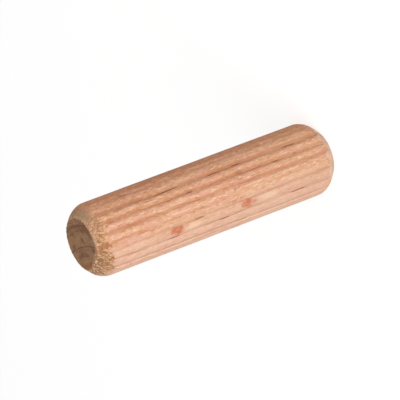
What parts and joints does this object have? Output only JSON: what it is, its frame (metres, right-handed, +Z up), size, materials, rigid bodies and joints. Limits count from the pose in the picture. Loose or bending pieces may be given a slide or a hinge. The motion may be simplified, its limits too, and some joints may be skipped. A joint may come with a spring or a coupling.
{
  "type": "dowel pin",
  "caption": "Straight fluted beech dowel pin with chamfered ends, for gluing two boards together.",
  "frame": {"origin": "middle of the flat end that the pin stands on", "axes": "+Z up along the pin's axis; a flute faces +X and another faces -Y"},
  "size_m": [0.008, 0.008, 0.03],
  "materials": {
    "beech": "bare die-fluted beech, matt, with fine long grain and dry torn fibres at the ends"
  },
  "bodies": {
    "root": {"dowel_pin": "beech"}
  },
  "joints": []
}
